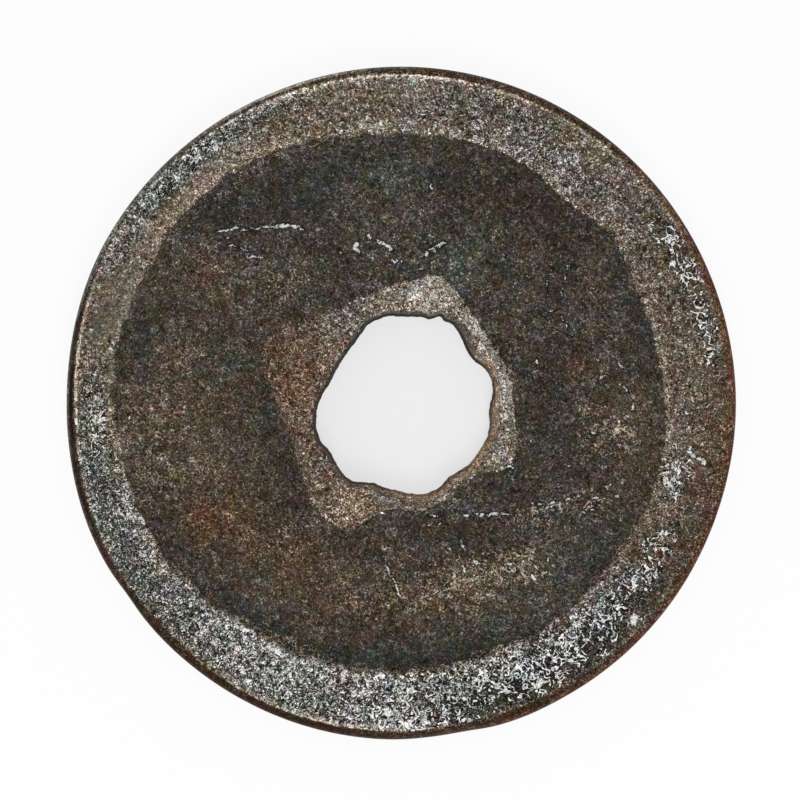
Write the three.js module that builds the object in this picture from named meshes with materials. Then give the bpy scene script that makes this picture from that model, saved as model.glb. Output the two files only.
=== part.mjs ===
// A worn Chinese cash coin: one bronze casting with a broad rim, sunken fields, a raised
// border around the hole and a rough hole. Millimetres, +Z up. The coin lies on its obverse,
// its plain reverse faces up, and the origin is at the middle of its underside.
import * as THREE from "three";

// The blank
const COIN_DIAMETER = 25; // across the outer edge, at the belly
const RIM_THICKNESS = 1.45; // from one rim face to the other
const EDGE_ROUND_WIDTH = 0.3; // how far the edge rounds in from the belly to a rim face
const EDGE_ROUND_HEIGHT = 0.36; // how far down a rim face's edge the rounding reaches
const EDGE_BELLY = 0.05; // how far the filed edge swells between its two shoulders

// The reverse, which faces up
const REVERSE_FIELD_RADIUS = 10.1; // to the rim's inner edge, before its wobble
const REVERSE_DEPTH = 0.24; // from the rim's face down to the field
const REVERSE_BORDER_WIDTH = 1.15; // around the hole, before its wobble
const REVERSE_BORDER_DROP = 0.03; // the border is worn this far below the rim's face

// The obverse, which faces down
const OBVERSE_FIELD_RADIUS = 10;
const OBVERSE_FIELD_SHIFT = 0.2; // the two moulds were this far out of line
const OBVERSE_SHIFT_ANGLE = 20;
const OBVERSE_DEPTH = 0.28;
const OBVERSE_BORDER_SIDE = 8.2; // across the flats of the square border
const OBVERSE_BORDER_CORNER = 1.5; // radius of its worn corners
const OBVERSE_BORDER_TURN = 27; // how far the square is turned, anticlockwise from above
const OBVERSE_BORDER_DROP = 0.04;

// The slopes of the relief, measured level
const RIM_SLOPE = 0.3;
const BORDER_SLOPE = 0.26;

// The hole
const HOLE_RADIUS = 3.3; // at its waist, before its wobble
const HOLE_WAIST_HEIGHT = 0.4; // above the underside
const HOLE_FLARE = 0.2; // how much wider the hole is at the reverse than at its waist
const HOLE_LEAN = 0.13; // it was filed at a slant, so one side flares more
const HOLE_LEAN_ANGLE = -25; // towards this side
const OBVERSE_HOLE_FLARE = 0.08;
const LIP_ROUND = 0.08; // the rounded lips of the hole
const LEAST_CREST = 0.12; // the border's flat top is nowhere narrower than this

// How far the worn hole stands out from its radius. Each of these lists goes once around the
// coin in even steps of angle, anticlockwise from +X.
const HOLE_WOBBLE = [
  0.05, 0.2, 0.14, -0.08, -0.08, 0.12, 0.22, 0.1, -0.04, -0.08, 0, -0.1,
  -0.32, -0.5, -0.58, -0.61, -0.53, -0.39, -0.25, -0.1, -0.02, -0.02, -0.05, 0.04,
  0.08, -0.15, -0.1, -0.02, 0.14, 0.17, 0.05, 0.05, 0.13, 0.14, 0.12, 0.08,
];

// How far the reverse border's foot stands out from the hole's radius plus its width
const BORDER_WOBBLE = [
  -0.28, -0.33, -0.35, -0.42, -0.45, -0.33, 0.05, 0.45, 0.38, 0.02, -0.25, -0.34,
  -0.32, -0.2, 0.15, 0.75, 1, 0.7, 0.25, -0.02, -0.05, 0.02, 0.22, 0.5,
  0.62, 0.35, -0.3, -0.4, -0.32, -0.38, -0.5, -0.6, -0.42, 0.14, 0.12, -0.12,
];

// How far the reverse rim's inner edge stands out from the field's radius
const FIELD_WOBBLE = [
  -0.2, -0.3, -0.34, -0.22, -0.18, -0.37, -0.2, -0.1, -0.06, -0.08, 0.05, 0.25,
  0.42, 0.55, 0.6, 0.55, 0.6, 0.64, 0.68, 0.67, 0.55, 0.43, 0.42, 0.15,
  0, 0.02, 0, -0.06, -0.09, -0.12, -0.15, -0.18, -0.22, -0.2, -0.06, -0.12,
];

const SECTIONS = 152; // copies of the section around the coin
const FIELD_RINGS = 2; // rings of points across each field
const EDGE_STEPS = 3; // facets around each shoulder of the edge

const radians = THREE.MathUtils.degToRad;

// A smooth closed curve through the values of a wobble, read at any angle.
function wobbleCurve(values) {
  const valueAt = (station) => values[THREE.MathUtils.euclideanModulo(station, values.length)];
  return (angle) => {
    const place = (angle / 360) * values.length;
    const station = Math.floor(place);
    const share = place - station;
    const [before, start, end, after] = [-1, 0, 1, 2].map((step) => valueAt(station + step));
    const startSlope = (end - before) / 2;
    const endSlope = (after - start) / 2;
    const cube = 2 * (start - end) + startSlope + endSlope;
    const square = 3 * (end - start) - 2 * startSlope - endSlope;
    return ((cube * share + square) * share + startSlope) * share + start;
  };
}

const holeWobble = wobbleCurve(HOLE_WOBBLE);
const borderWobble = wobbleCurve(BORDER_WOBBLE);
const fieldWobble = wobbleCurve(FIELD_WOBBLE);

// The hole's edge at its waist.
function holeWaist(angle) {
  return HOLE_RADIUS + holeWobble(angle);
}

// The lip of the hole on the reverse, which flares more on the side it leans to.
function reverseLip(angle) {
  const lean = HOLE_LEAN * Math.cos(radians(angle - HOLE_LEAN_ANGLE));
  return holeWaist(angle) + HOLE_FLARE + lean;
}

// The foot of the reverse border, as worn and blurred as the casting is.
function reverseBorderFoot(angle) {
  return HOLE_RADIUS + REVERSE_BORDER_WIDTH + borderWobble(angle);
}

// How far it is from the middle of a square with round corners to its outline.
function roundedSquare(side, corner, angle) {
  const quarter = THREE.MathUtils.euclideanModulo(angle + 45, 90) - 45;
  const direction = radians(Math.abs(quarter));
  const flat = side / 2;
  const straight = flat / Math.cos(direction);
  const centre = flat - corner;
  if (straight * Math.sin(direction) <= centre) return straight;
  const along = centre * (Math.cos(direction) + Math.sin(direction));
  return along + Math.sqrt(along * along - 2 * centre * centre + corner * corner);
}

// How far it is from the origin to a circle whose centre is moved off it.
function shiftedCircle(radius, shift, angle) {
  const along = shift * Math.cos(radians(angle));
  const across = shift * Math.sin(radians(angle));
  return along + Math.sqrt(radius * radius - across * across);
}

// One face of the coin at one angle, as points [radius, height] from the hole's lip out to
// the edge. A face that looks up has up = 1, and one that looks down has up = -1.
function facePoints({ lip, borderFoot, rimFoot, depth, drop, rimHeight, up }) {
  const crestHeight = rimHeight - up * drop;
  const fieldHeight = rimHeight - up * depth;
  const crestStart = lip + LIP_ROUND;
  const crestEnd = Math.max(borderFoot - BORDER_SLOPE, crestStart + LEAST_CREST);
  const foot = crestEnd + BORDER_SLOPE;
  const rimStart = Math.max(rimFoot, foot + FIELD_RINGS * LEAST_CREST);
  const field = [];
  for (let ring = 1; ring <= FIELD_RINGS; ring += 1) {
    const share = ring / (FIELD_RINGS + 1);
    field.push([THREE.MathUtils.lerp(foot, rimStart, share), fieldHeight]);
  }
  return [
    [lip, crestHeight - up * LIP_ROUND],
    [crestStart, crestHeight],
    [crestEnd, crestHeight],
    [foot, fieldHeight],
    ...field,
    [rimStart, fieldHeight],
    [rimStart + RIM_SLOPE, rimHeight],
    [COIN_DIAMETER / 2 - EDGE_ROUND_WIDTH, rimHeight],
  ];
}

// The edge, the same at every angle, from the reverse shoulder down to the obverse one. Each
// shoulder is a quarter of an ellipse, and the edge swells a little between them.
function edgePoints() {
  const belly = COIN_DIAMETER / 2;
  const middle = RIM_THICKNESS / 2;
  const flatEnd = belly - EDGE_ROUND_WIDTH;
  const roundWidth = EDGE_ROUND_WIDTH - EDGE_BELLY;
  const upper = [];
  for (let step = 1; step <= EDGE_STEPS; step += 1) {
    const turn = (Math.PI / 2) * (step / EDGE_STEPS);
    const rise = middle - EDGE_ROUND_HEIGHT + EDGE_ROUND_HEIGHT * Math.cos(turn);
    upper.push([flatEnd + roundWidth * Math.sin(turn), rise]);
  }
  const lower = upper.map(([radius, rise]) => [radius, -rise]).reverse();
  const edge = [...upper, [belly, 0], ...lower];
  return edge.map(([radius, rise]) => [radius, middle + rise]);
}

// The whole section through one side of the coin at an angle: up the hole, out over the
// reverse, down the edge and back under the obverse.
function sectionAt(angle) {
  const reverse = facePoints({
    lip: reverseLip(angle),
    borderFoot: reverseBorderFoot(angle),
    rimFoot: REVERSE_FIELD_RADIUS + fieldWobble(angle) - RIM_SLOPE,
    depth: REVERSE_DEPTH,
    drop: REVERSE_BORDER_DROP,
    rimHeight: RIM_THICKNESS,
    up: 1,
  });
  const shiftAngle = angle - OBVERSE_SHIFT_ANGLE;
  const squareAngle = angle - OBVERSE_BORDER_TURN;
  const obverse = facePoints({
    lip: holeWaist(angle) + OBVERSE_HOLE_FLARE,
    borderFoot: roundedSquare(OBVERSE_BORDER_SIDE, OBVERSE_BORDER_CORNER, squareAngle),
    rimFoot: shiftedCircle(OBVERSE_FIELD_RADIUS, OBVERSE_FIELD_SHIFT, shiftAngle),
    depth: OBVERSE_DEPTH,
    drop: OBVERSE_BORDER_DROP,
    rimHeight: 0,
    up: -1,
  });
  const waist = [holeWaist(angle), HOLE_WAIST_HEIGHT];
  return [waist, ...reverse, ...edgePoints(), ...obverse.reverse()];
}

// The casting: a lathe turning whose section changes a little at every angle.
function castCoin() {
  const profile = sectionAt(0).map(([radius, height]) => new THREE.Vector2(radius, height));
  const closed = [...profile, profile[0]].reverse();
  const geometry = new THREE.LatheGeometry(closed, SECTIONS);
  const position = geometry.getAttribute("position");
  for (let copy = 0; copy <= SECTIONS; copy += 1) {
    const angle = ((copy % SECTIONS) * 360) / SECTIONS;
    const section = sectionAt(angle);
    const around = [...section, section[0]].reverse();
    around.forEach(([radius, height], step) => {
      const x = radius * Math.cos(radians(angle));
      const y = radius * Math.sin(radians(angle));
      position.setXYZ(copy * around.length + step, x, y, height);
    });
  }
  geometry.computeVertexNormals();
  return geometry;
}

const bronze = new THREE.MeshStandardMaterial({
  color: 0x5a5046,
  roughness: 0.55,
  metalness: 0.6,
});

const coin = new THREE.Group();
const casting = new THREE.Mesh(castCoin(), bronze);
casting.name = "cast_coin";
coin.add(casting);

export default coin;
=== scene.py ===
# %% [markdown]
# # A worn cash coin
# A cash coin is one bronze casting: a broad raised rim, a sunken field, and a raised border
# around the hole. This lesson rebuilds such a coin around its CAD solid, with its plain
# reverse up. The shape comes first, then the finish, and last the light and the camera.

# %% The frame
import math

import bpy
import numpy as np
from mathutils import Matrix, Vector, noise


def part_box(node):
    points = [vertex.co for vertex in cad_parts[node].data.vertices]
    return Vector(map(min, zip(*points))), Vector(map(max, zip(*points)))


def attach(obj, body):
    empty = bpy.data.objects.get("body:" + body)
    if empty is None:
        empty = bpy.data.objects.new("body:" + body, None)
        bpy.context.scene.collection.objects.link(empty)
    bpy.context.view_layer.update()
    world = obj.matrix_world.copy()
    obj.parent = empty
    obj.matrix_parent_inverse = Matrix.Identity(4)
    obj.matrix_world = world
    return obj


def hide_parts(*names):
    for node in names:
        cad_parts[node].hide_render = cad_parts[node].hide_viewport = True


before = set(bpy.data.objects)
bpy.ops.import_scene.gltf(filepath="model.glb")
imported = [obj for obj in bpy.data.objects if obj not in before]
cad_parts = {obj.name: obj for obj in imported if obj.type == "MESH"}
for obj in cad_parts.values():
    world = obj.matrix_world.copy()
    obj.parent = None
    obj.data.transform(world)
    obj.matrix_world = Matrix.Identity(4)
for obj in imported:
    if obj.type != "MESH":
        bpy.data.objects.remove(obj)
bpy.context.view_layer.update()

# %% [markdown]
# The CAD solid says how large the coin is and where it lies. Every size below is in metres,
# so a small unit called mm keeps the numbers readable. The dressed coin has to stay inside the
# box of the solid.

low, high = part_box("cast_coin")
mm = 0.001
edge_radius = (high.y - low.y) / 2
thickness = high.z - low.z
print("coin", round(edge_radius * 2 / mm, 3), "mm across,", round(thickness / mm, 3), "thick")

# %% [markdown]
# A ring of the coin is never a true circle: the hole is worn lopsided, the border was cast as
# a turned square and has lost its corners, and the rim's foot wanders. Each of these outlines
# is a mean radius and a short list of points that say how far the outline stands out at an
# angle. That is quicker to correct by eye than a drawn curve.

# %% Points of the outlines
# degrees anticlockwise from the right, and mm out from the mean radius
hole_points = [
    (0, 0.02), (5, 0.10), (10, 0.17), (15, 0.18), (20, 0.11), (26, -0.05), (32, -0.19),
    (38, -0.16), (46, -0.03), (52, 0.11), (58, 0.19), (62, 0.16), (66, 0.24), (69, 0.07),
    (78, -0.03), (90, -0.08), (97, -0.05), (103, -0.05), (111, -0.12), (126, -0.45),
    (140, -0.58), (152, -0.61), (165, -0.53), (172, -0.42), (179, -0.26), (187, -0.13),
    (194, -0.04), (201, 0.0), (206, -0.01), (213, -0.09), (221, -0.03), (230, 0.1),
    (238, 0.13), (244, -0.03), (250, -0.15), (258, -0.1), (267, -0.05), (276, 0.08),
    (284, 0.18), (294, 0.14), (304, -0.02), (312, 0.02), (321, 0.13), (328, 0.1),
    (335, 0.14), (347, 0.08), (355, -0.02),
]
border_points = [
    (3, -0.3), (20, -0.35), (32, -0.43), (44, -0.45), (54, -0.22), (62, 0.12), (73, 0.55),
    (78, 0.5), (82, 0.3), (93, -0.04), (103, -0.3), (114, -0.36), (126, -0.27),
    (137, -0.05), (147, 0.58), (156, 1.0), (165, 0.95), (173, 0.5), (183, 0.17),
    (194, -0.07), (208, 0.0), (222, 0.26), (232, 0.57), (240, 0.62), (248, 0.48),
    (256, -0.1), (264, -0.42), (281, -0.32), (295, -0.43), (308, -0.6), (319, -0.48),
    (328, 0.12), (338, 0.17), (347, -0.03), (355, -0.24),
]
field_points = [
    (4, -0.25), (10, -0.4), (16, -0.35), (27, -0.3), (37, -0.1), (44, -0.22), (48, -0.38),
    (56, -0.28), (64, -0.12), (78, -0.06), (90, -0.08), (100, 0.05), (110, 0.25),
    (122, 0.45), (135, 0.6), (142, 0.66), (150, 0.55), (158, 0.6), (165, 0.62),
    (180, 0.68), (188, 0.46), (195, 0.5), (203, 0.5), (208, 0.42), (217, 0.5),
    (222, 0.2), (226, 0.22), (233, 0.1), (240, 0.0), (247, 0.1), (255, 0.02),
    (270, -0.06), (285, -0.1), (294, -0.2), (303, -0.05), (309, -0.12), (315, -0.2),
    (327, -0.24), (337, -0.05), (350, -0.12),
]
print(len(hole_points + border_points + field_points), "points")

# %% [markdown]
# A smooth curve joins the points, as a flexible ruler does, and a little noise makes the line
# ragged. The hole needs the least of it, because its points already follow its rough edge.

# %% Outlines


def ruler_curve(points):
    """A smooth closed curve through points of angle and value."""
    angles, values = np.array(points, float).T
    angles = np.concatenate([angles - 360, angles, angles + 360])
    values = np.tile(values, 3)
    slope = np.gradient(values, angles)

    def at(angle):
        angle %= 360
        after = int(np.searchsorted(angles, angle, side="right"))
        before = after - 1
        span = angles[after] - angles[before]
        share = (angle - angles[before]) / span
        square, cube = share**2, share**3
        return float(
            (2 * cube - 3 * square + 1) * values[before]
            + (cube - 2 * square + share) * span * slope[before]
            + (3 * square - 2 * cube) * values[after]
            + (cube - square) * span * slope[after]
        )

    return at


def outline(points, radius, ragged, grain, seed):
    """A closed outline in metres, as a radius at an angle, from values in mm."""
    curve = ruler_curve(points)

    def at(angle):
        turn = math.radians(angle)
        place = Vector((math.cos(turn), math.sin(turn), seed)) * (radius / grain)
        rough = noise.fractal(place, 0.8, 2.0, 3) * ragged
        return (radius + curve(angle) + rough) * mm

    return at


hole_edge = outline(hole_points, 3.28, ragged=0.03, grain=0.28, seed=3)
border_foot = outline(border_points, 4.42, ragged=0.07, grain=0.5, seed=5)
field_edge = outline(field_points, 10.04, ragged=0.11, grain=0.55, seed=7)
print("hole at 0 degrees:", round(hole_edge(0) / mm, 2), "mm")

# %% [markdown]
# The coin's section is a list of rings. Each ring is a place where the section turns: the
# waist of the hole, the lip, the top of the border, its foot, the foot of the rim and so on.
# First come the sizes that are the same all around. A picture from above doesn't show the
# thickness or the depths, so they are what such coins measure.

# %% Sizes of the section
reverse_depth = 0.24 * mm
obverse_depth = 0.28 * mm
obverse_slope = 0.26 * mm
edge_round_width, edge_round_height = 0.3 * mm, 0.36 * mm
edge_belly = 0.05 * mm  # how far the edge swells between its shoulders
waist_height = 0.4 * mm  # where the hole is narrowest
wall_out, wall_rise = 0.08 * mm, 0.45 * mm  # the wall's middle ring, from the waist
hole_flare, hole_lean, hole_lean_turn = 0.2 * mm, 0.13 * mm, -25
lip_round = 0.08 * mm
lip_knee = lip_round * 0.3  # a ring half way around the rounded lip
least_crest = 0.12 * mm
least_slope = 0.2 * mm

obverse_border_side, obverse_border_corner, obverse_border_turn = 8.2 * mm, 1.5 * mm, 27
obverse_border_drop = 0.04 * mm
obverse_field_radius = 10 * mm
obverse_shift, obverse_shift_turn = 0.2 * mm, 20  # the two moulds didn't quite meet
obverse_rim_slope = 0.3 * mm
top = thickness
field_top = top - reverse_depth
print("the field lies", round(field_top / mm, 2), "mm above the sheet")

# %% [markdown]
# The slopes are worn unevenly: the border is steep on the right and fades into the field at
# the upper left, and the rim's foot is crisp at the top and bottom and soft at the sides. The
# border's top is worn down most at the upper left, and the filed edge has small dents. Each
# is a curve around the coin like those of the outlines, with values in mm.

# %% Slopes, wear and dents
border_slope = ruler_curve([
    (0, 0.26), (60, 0.3), (100, 0.5), (122, 0.85), (140, 0.9), (160, 0.5), (180, 0.3),
    (230, 0.25), (300, 0.22),
])
rim_slope = ruler_curve([
    (0, 0.5), (45, 0.4), (75, 0.22), (110, 0.22), (140, 0.3), (170, 0.55), (195, 0.55),
    (225, 0.3), (270, 0.2), (310, 0.4),
])
crest_wear = ruler_curve([
    (0, 0.03), (60, 0.03), (100, 0.05), (125, 0.1), (145, 0.1), (170, 0.05), (230, 0.03),
    (300, 0.03),
])
edge_dent = ruler_curve([
    (0, 0.07), (15, 0.08), (45, 0.055), (75, 0.02), (100, 0.02), (118, 0.04), (145, 0.01),
    (155, 0.0), (165, 0.04), (176, 0.09), (188, 0.07), (204, 0.02), (210, 0.04),
    (215, 0.1), (220, 0.06), (235, 0.03), (255, 0.0), (270, 0.02), (276, 0.07),
    (281, 0.09), (286, 0.02), (300, 0.02), (320, 0.03), (340, 0.07),
])
print("the border slopes over", border_slope(0), "to", border_slope(140), "mm")

# %% [markdown]
# Small functions give each ring's outline or height at an angle. The hole was filed at a
# slant, so its lip leans to one side. Where the border is worn away to a thin line, its top
# and its slope keep a least width, so that no ring crosses its neighbour.

# %% Outlines of the reverse


def reverse_lip(angle):
    lean = hole_lean * math.cos(math.radians(angle - hole_lean_turn))
    return hole_edge(angle) + hole_flare + lean


def crest_top(angle):
    return top - crest_wear(angle) * mm


def crest_end(angle):
    least = reverse_lip(angle) + lip_round + least_crest
    return max(border_foot(angle) - border_slope(angle) * mm, least)


def crest_foot(angle):
    return max(border_foot(angle), crest_end(angle) + least_slope)


def rim_foot(angle):
    return field_edge(angle) - rim_slope(angle) * mm


print("the border's crest ends at", round(crest_end(0) / mm, 2), "mm on the right")

# %% [markdown]
# The obverse lies on the sheet. Its border has kept its square with round corners, and its
# field is a circle that is moved a little, because two moulds never quite meet. The edge
# turns into both faces over a rounded shoulder, a quarter of an ellipse.

# %% Outlines of the obverse and the edge


def obverse_border(angle):
    """How far a turned square with round corners reaches at an angle."""
    side, corner = obverse_border_side, obverse_border_corner
    quarter = (angle - obverse_border_turn + 45) % 90 - 45
    direction = math.radians(abs(quarter))
    straight = side / 2 / math.cos(direction)
    centre = side / 2 - corner
    if straight * math.sin(direction) <= centre:
        return straight
    along = centre * (math.cos(direction) + math.sin(direction))
    return along + math.sqrt(along * along - 2 * centre * centre + corner * corner)


def obverse_field(angle):
    """How far a circle that is moved off the middle reaches at an angle."""
    turn = math.radians(angle - obverse_shift_turn)
    along, across = obverse_shift * math.cos(turn), obverse_shift * math.sin(turn)
    return along + math.sqrt(obverse_field_radius**2 - across**2)


def plus(outline_at, out):
    return lambda angle: outline_at(angle) + out


def between(first, second):
    return lambda angle: (first(angle) + second(angle)) / 2


def shoulder(turn_degrees):
    """A ring of the rounded shoulder: its outline, and how far below the face it lies."""
    turn = math.radians(turn_degrees)
    out = (edge_round_width - edge_belly) * math.sin(turn)
    down = edge_round_height * (1 - math.cos(turn))
    radius = edge_radius - edge_round_width + out
    return (lambda angle: radius - edge_dent(angle) * mm), down


print("the obverse's field reaches", round(obverse_field(0) / mm, 2), "mm to the right")

# %% [markdown]
# Now the rings are listed: up the wall of the hole, over the reverse, around the edge and
# back under the obverse. A ring also says how many cuts the band that follows it has.

# %% The list of rings
section = [
    # outline, height, cuts in the band that follows
    (hole_edge, waist_height, 4),
    (plus(hole_edge, wall_out), waist_height + wall_rise, 5),
    (reverse_lip, plus(crest_top, -lip_round), 1),
    (plus(reverse_lip, lip_knee), plus(crest_top, -lip_knee), 0),
    (plus(reverse_lip, lip_round), crest_top, 9),
    (crest_end, crest_top, 1),
    (between(crest_end, crest_foot), plus(crest_top, -reverse_depth / 2), 1),
    (crest_foot, field_top, 58),
    (rim_foot, field_top, 1),
    (between(rim_foot, field_edge), (field_top + top) / 2, 1),
    (field_edge, top, 22),
]
shoulder_turns = (0, 30, 60, 90)
for turn_degrees in shoulder_turns:
    circle, down = shoulder(turn_degrees)
    section.append((circle, top - down, 1))
section.append((lambda angle: edge_radius - edge_dent(angle) * mm, top / 2, 1))
for turn_degrees in reversed(shoulder_turns):
    circle, down = shoulder(turn_degrees)
    section.append((circle, down, 1 if turn_degrees else 8))
section += [
    (plus(obverse_field, obverse_rim_slope), 0, 2),
    (obverse_field, obverse_depth, 16),
    (obverse_border, obverse_depth, 2),
    (plus(obverse_border, -obverse_slope), obverse_border_drop, 4),
    (plus(hole_edge, wall_out + lip_round), obverse_border_drop, 0),
    (plus(hole_edge, wall_out), obverse_border_drop + lip_round, 1),
]
print(len(section), "rings in the section")

# %% [markdown]
# Two neighbouring rings are primitive circles, pushed out to their outlines and bridged with
# as many cuts as the band between them needs. The field needs many, because it ripples. One
# band at a time is modelled in edit mode and then all the bands are joined. Neighbours share
# a ring of points, so a merge by distance closes the coin, and its normals are recalculated
# to point out of the metal.

# %% The casting
around = 480  # points in each ring


def deselect_all():
    if bpy.context.object and bpy.context.object.mode != "OBJECT":
        bpy.ops.object.mode_set(mode="OBJECT")
    bpy.ops.object.select_all(action="DESELECT")


def add_ring(outline_at, height):
    """A primitive circle, pushed out to its outline and lifted to its height."""
    bpy.ops.mesh.primitive_circle_add(vertices=around, radius=edge_radius)
    ring = bpy.context.object
    for vertex in ring.data.vertices:
        turn = math.atan2(vertex.co.y, vertex.co.x)
        radius = outline_at(math.degrees(turn))
        level = height(math.degrees(turn)) if callable(height) else height
        vertex.co = (radius * math.cos(turn), radius * math.sin(turn), level)
    return ring


def add_band(first, second, cuts):
    """The band between two rings of the section, bridged with cuts."""
    deselect_all()
    rings = [add_ring(*first[:2]), add_ring(*second[:2])]
    for ring in rings:
        ring.select_set(True)
    bpy.ops.object.join()
    bpy.ops.object.mode_set(mode="EDIT")
    bpy.ops.mesh.select_all(action="SELECT")
    bpy.ops.mesh.bridge_edge_loops(number_cuts=cuts, interpolation="LINEAR")
    bpy.ops.object.mode_set(mode="OBJECT")
    return bpy.context.object


bands = []
for ring, after in zip(section, section[1:] + section[:1]):
    bands.append(add_band(ring, after, ring[2]))
deselect_all()
for band in bands:
    band.select_set(True)
bpy.context.view_layer.objects.active = bands[0]
bpy.ops.object.join()
coin = bpy.context.object
coin.name = coin.data.name = "worn_coin"
bpy.ops.object.mode_set(mode="EDIT")
bpy.ops.mesh.select_all(action="SELECT")
bpy.ops.mesh.remove_doubles(threshold=0.0001 * mm)
bpy.ops.mesh.normals_make_consistent(inside=False)
bpy.ops.object.mode_set(mode="OBJECT")
bpy.ops.object.shade_smooth()
print(len(coin.data.vertices), "points and", len(coin.data.polygons), "faces")

# %% [markdown]
# Casting in sand and a long life leave the metal uneven. Displace modifiers push the surface
# in by soft cloud textures, never out, so the coin stays inside its size: broad ripples
# first, then lumps, then the fine pitting of corrosion. A vertex group holds most of it back
# from the filed edge and the wall of the hole. Each one is applied.

# %% Ripples, lumps and pits
side_starts, wall_reaches, side_share = 12.1 * mm, 0.15 * mm, 0.2
exposed = coin.vertex_groups.new(name="exposed")
for vertex in coin.data.vertices:
    out = math.hypot(vertex.co.x, vertex.co.y)
    turn = math.degrees(math.atan2(vertex.co.y, vertex.co.x))
    on_side = out > side_starts or out < hole_edge(turn) + wall_reaches
    exposed.add([vertex.index], side_share if on_side else 1.0, "REPLACE")


def wear_surface(name, size, depth):
    texture = bpy.data.textures.new(name, "CLOUDS")
    texture.noise_scale = size
    texture.noise_basis = "ORIGINAL_PERLIN"
    modifier = coin.modifiers.new(name, "DISPLACE")
    modifier.texture = texture
    modifier.texture_coords = "LOCAL"
    modifier.vertex_group = "exposed"
    modifier.mid_level = 1.0
    modifier.strength = depth
    bpy.ops.object.modifier_apply(modifier=name)
    print(name, "up to", round(depth / mm, 3), "mm deep")


wear_surface("ripples", 1.8 * mm, 0.05 * mm)
wear_surface("lumps", 0.6 * mm, 0.03 * mm)
wear_surface("pits", 0.22 * mm, 0.02 * mm)

# %% [markdown]
# The finish is painted as a restorer would retouch it: a few named finishes, laid on in soft
# oval strokes. A finish is a colour as it is seen, from 0 to 255, and the strength of its
# speckle.

# %% Finishes
finishes = {
    # red, green, blue, speckle
    "patina": (68, 62, 55, 0.66), "soot": (50, 50, 46, 0.54), "umber": (56, 49, 43, 0.6),
    "moss": (63, 64, 56, 0.61), "plum": (77, 67, 64, 0.61), "earth": (78, 65, 51, 0.6),
    "ochre": (88, 67, 46, 0.68), "rust": (98, 64, 43, 0.68), "tan": (92, 79, 63, 0.68),
    "dust": (84, 74, 63, 0.76),
    "rim": (98, 88, 77, 0.57), "sand": (117, 106, 92, 0.46), "brown rim": (84, 71, 57, 0.5),
    "slate": (77, 79, 75, 0.74), "lilac": (99, 92, 88, 0.61), "olive": (78, 79, 69, 0.68),
    "film": (104, 96, 82, 0.36), "silver": (77, 77, 72, 0.84), "iron": (50, 47, 43, 0.72),
    "dark rim": (66, 58, 48, 0.5), "cream": (184, 171, 157, 0.61),
    "clay": (92, 71, 57, 0.53), "amber": (120, 98, 78, 0.57), "mauve": (95, 83, 76, 0.53),
    "edge brown": (70, 57, 45, 0.53), "edge tan": (92, 66, 46, 0.5),
    # the darkest edge finishes also carry painted shade, and the palest a painted highlight, on
    # the edge's outer shoulder
    "edge red": (84, 42, 28, 0.5), "edge dark and shade": (48, 34, 24, 0.38),
    "edge black shade": (26, 21, 17, 0.3), "edge grey": (98, 103, 99, 0.53),
    "edge pale highlight": (188, 192, 186, 0.38), "wall brown": (150, 124, 102, 0.46),
    "wall dark": (92, 85, 76, 0.46),
}
print(len(finishes), "finishes")

# %% [markdown]
# Three coats are kept apart, so that no stroke crosses a step in the relief: the sunken
# field, the raised rim and border, and the sides. Each coat is kept on the points of the
# mesh, as a colour and a speckle attribute that the material reads. Most marks are ovals;
# those on the rim are arcs, given by radius and angle.

# %% Brushes
coordinates = np.zeros(len(coin.data.vertices) * 3)
coin.data.vertices.foreach_get("co", coordinates)
x, y, z = (coordinates / mm).reshape(-1, 3).T
from_middle = np.hypot(x, y)
around_turn = np.degrees(np.arctan2(y, x)) % 360
looks_up = z > thickness / mm / 2
print(int(looks_up.sum()), "points look up")


arc_power = 1.5  # an arc ends more sharply than an oval


def soft_oval(centre_x, centre_y, half_x, half_y, turn):
    """How much of an oval brush mark lies on each point, from 0 to 1."""
    cosine, sine = math.cos(math.radians(turn)), math.sin(math.radians(turn))
    along = ((x - centre_x) * cosine + (y - centre_y) * sine) / half_x
    across = ((y - centre_y) * cosine - (x - centre_x) * sine) / half_y
    return np.exp(-(along**2 + across**2))


def soft_arc(radius, half_width, turn, half_turn):
    """The same for a brush mark that follows a circle."""
    away = (around_turn - turn + 180) % 360 - 180
    square = ((from_middle - radius) / half_width) ** 2 + (away / half_turn) ** 2
    return np.exp(-(square**arc_power))


def keep(name, kind, values):
    """Stores one value or vector for each point of the coin."""
    attribute = coin.data.attributes.new(name, kind, "POINT")
    key = "vector" if kind == "FLOAT_VECTOR" else "value"
    attribute.data.foreach_set(key, np.asarray(values, np.float32).ravel())


def brush(mark):
    """An oval has five numbers and an arc has four."""
    return soft_oval(*mark) if len(mark) == 5 else soft_arc(*mark)


def paint_coat(name, ground, *layers):
    """Lays strokes over a ground finish. A layer is its strokes and where they may lie."""
    coat = np.tile(np.array(finishes[ground], float), (len(x), 1))
    for strokes, where in layers:
        for finish, *mark, amount in strokes:
            cover = amount * brush(mark) * where
            coat += cover[:, None] * (np.array(finishes[finish]) - coat)
    keep(name + "_colour", "FLOAT_VECTOR", coat[:, :3] / 255)
    keep(name + "_speckle", "FLOAT", coat[:, 3])
    print(name, "coat, mean level", coat[:, :3].mean().round(1))


# %% [markdown]
# The field keeps a dark patina. It is sooty in the lee of the rim, reddish on the right,
# earthy at the lower left, and tan where the patina is rubbed through. The obverse, which
# lies on the sheet, has its own strokes in the same finishes.

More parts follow.
